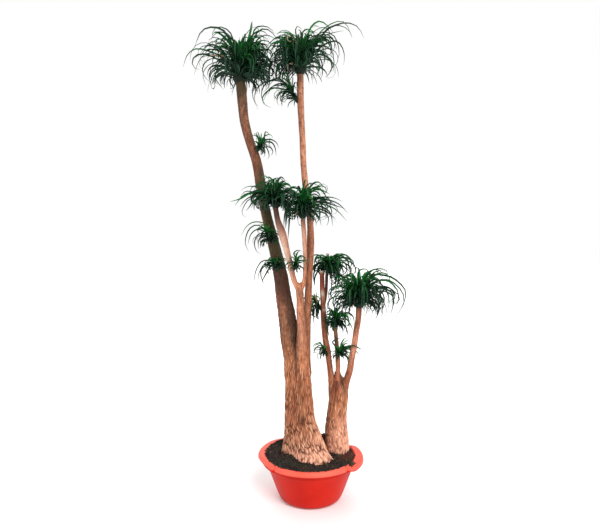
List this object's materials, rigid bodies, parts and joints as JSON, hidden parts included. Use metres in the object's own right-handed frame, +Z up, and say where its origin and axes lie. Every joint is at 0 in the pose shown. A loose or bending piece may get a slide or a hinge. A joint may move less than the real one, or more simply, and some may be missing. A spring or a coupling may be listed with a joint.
{
  "type": "potted ponytail palm",
  "caption": "Tall potted plant with swollen woody trunks, bare forked stems and heads of arching strap leaves, standing in soil in a round lipped bowl with lug handles.",
  "frame": {"origin": "middle of the bowl's underside, on the surface it stands on", "axes": "+Z up along the bowl's axis; +X to the right and +Y away from somebody who stands in front"},
  "size_m": [1.4977, 0.8117, 3.1492],
  "materials": {
    "pot_plastic": "moulded, satin, paler on the lip",
    "potting_soil": "damp crumbly peat and bark chips",
    "bark": "corky fissured bark, ringed with leaf scars on the stems",
    "leaf": "tough strap leaves, satin"
  },
  "bodies": {
    "root": {"pot": "pot_plastic", "soil": "potting_soil", "trunk_large": "bark", "trunk_small": "bark", "crown_left": "leaf", "crown_top": "leaf", "crown_middle_left": "leaf", "crown_middle_right": "leaf", "crown_right": "leaf", "crown_sawn_stem": "leaf", "crown_short_stem": "leaf", "shoot_top": "leaf", "shoot_upper": "leaf", "shoot_left_high": "leaf", "shoot_left_low": "leaf", "shoot_fork": "leaf", "shoot_small_left": "leaf", "shoot_small_mid": "leaf", "shoot_small_low": "leaf"}
  },
  "joints": []
}
